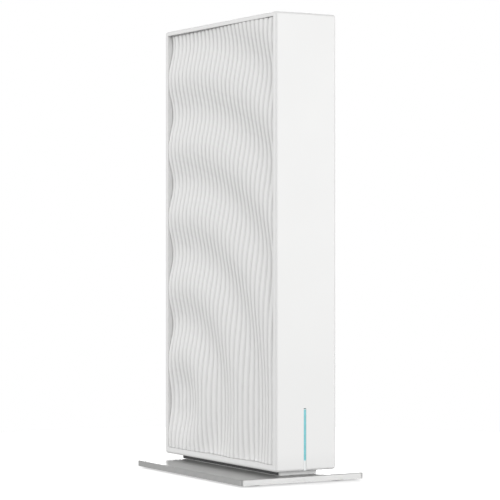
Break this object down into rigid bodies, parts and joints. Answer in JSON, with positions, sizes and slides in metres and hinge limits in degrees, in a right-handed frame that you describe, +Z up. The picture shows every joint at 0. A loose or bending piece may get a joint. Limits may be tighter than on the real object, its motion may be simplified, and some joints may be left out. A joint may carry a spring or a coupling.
{
  "type": "wireless router",
  "caption": "Upright tower router: slim white casing with wavy ribbed sides, a lit slit at the front foot, rear sockets and push buttons, on a wide flat base plate.",
  "frame": {"origin": "on the surface the feet stand on, under the middle of the casing", "axes": "+Z up the tower, +Y towards the sockets at the rear, +X across the width; the lit slit faces -Y"},
  "size_m": [0.0752, 0.1236, 0.2473],
  "materials": {
    "casing_plastic": "fine satin moulded white",
    "panel_plastic": "satin moulded white with wavy ribs",
    "rear_plastic": "fine sparked light grey",
    "base_metal": "bead blasted, clear coated",
    "neck_plastic": "satin light grey",
    "foot_rubber": "matt",
    "screw_steel": "zinc plated",
    "light_guide_clear": "frosted, lit cyan",
    "baffle_plastic": "opaque black",
    "circuit_board": "green solder mask",
    "lamp_lens": "clear lens",
    "cable_film": "white polyester film",
    "connector_nylon": "natural nylon",
    "tray_plastic": "dark grey ABS",
    "chip_epoxy": "moulded epoxy",
    "can_steel": "tinned",
    "pad_silicone": "soft filled silicone",
    "inductor_ferrite": "pressed ferrite",
    "capacitor_aluminium": "drawn can",
    "sink_aluminium": "extruded, etched",
    "jack_plastic": "black glass-filled nylon",
    "contact_gold": "gold flashed",
    "pin_metal": "nickel plated",
    "switch_body": "black nylon",
    "button_plastic": "satin grey",
    "plunger_plastic": "dark acetal",
    "lead_jacket": "thin coax jacket"
  },
  "bodies": {
    "housing": {"outer_frame": "casing_plastic", "left_wave_panel": "panel_plastic", "right_wave_panel": "panel_plastic", "rear_panel": "rear_plastic", "base_plate": "base_metal", "base_neck": "neck_plastic", "base_feet": "foot_rubber", "base_screws": "screw_steel", "rear_screws": "screw_steel", "board_screws": "screw_steel", "tray_screws": "screw_steel", "sink_screws": "screw_steel", "baffle_screws": "screw_steel", "light_guide": "light_guide_clear", "light_baffle": "baffle_plastic", "main_board": "circuit_board", "led_board": "circuit_board", "antenna_top_front": "circuit_board", "antenna_top_rear": "circuit_board", "antenna_front_high": "circuit_board", "antenna_front_low": "circuit_board", "status_leds": "lamp_lens", "jack_lamps": "lamp_lens", "led_cable": "cable_film", "led_cable_sockets": "connector_nylon", "chassis_tray": "tray_plastic", "processor_chip": "chip_epoxy", "memory_chips": "chip_epoxy", "flash_chip": "chip_epoxy", "network_chip": "chip_epoxy", "radio_chips": "chip_epoxy", "network_transformers": "chip_epoxy", "radio_shield_low": "can_steel", "radio_shield_high": "can_steel", "clock_crystals": "can_steel", "thermal_pads": "pad_silicone", "power_inductors": "inductor_ferrite", "filter_capacitors": "capacitor_aluminium", "heat_sink": "sink_aluminium", "wan_jack": "jack_plastic", "lan_jack_1": "jack_plastic", "lan_jack_2": "jack_plastic", "lan_jack_3": "jack_plastic", "dc_jack": "jack_plastic", "jack_contacts": "contact_gold", "antenna_sockets": "contact_gold", "antenna_plugs": "contact_gold", "dc_jack_pin": "pin_metal", "power_switch": "switch_body", "pair_switch": "switch_body", "reset_switch": "switch_body", "antenna_leads": "lead_jacket"},
    "power_key": {"power_button": "button_plastic", "power_stem": "plunger_plastic"},
    "pair_key": {"pair_button": "button_plastic", "pair_plunger": "plunger_plastic"},
    "reset_key": {"reset_plunger": "plunger_plastic"}
  },
  "joints": [
    {"name": "power_press", "type": "slide", "parent": "housing", "child": "power_key", "axis": [0, -1, 0], "range_m": [0, 0.002], "stiffness_N_per_m": 1500, "springref_m": -0.0003},
    {"name": "pair_press", "type": "slide", "parent": "housing", "child": "pair_key", "axis": [0, -1, 0], "range_m": [0, 0.0005], "stiffness_N_per_m": 3000, "springref_m": -0.0001},
    {"name": "reset_press", "type": "slide", "parent": "housing", "child": "reset_key", "axis": [0, -1, 0], "range_m": [0, 0.00025], "stiffness_N_per_m": 4000, "springref_m": -0.0001}
  ]
}
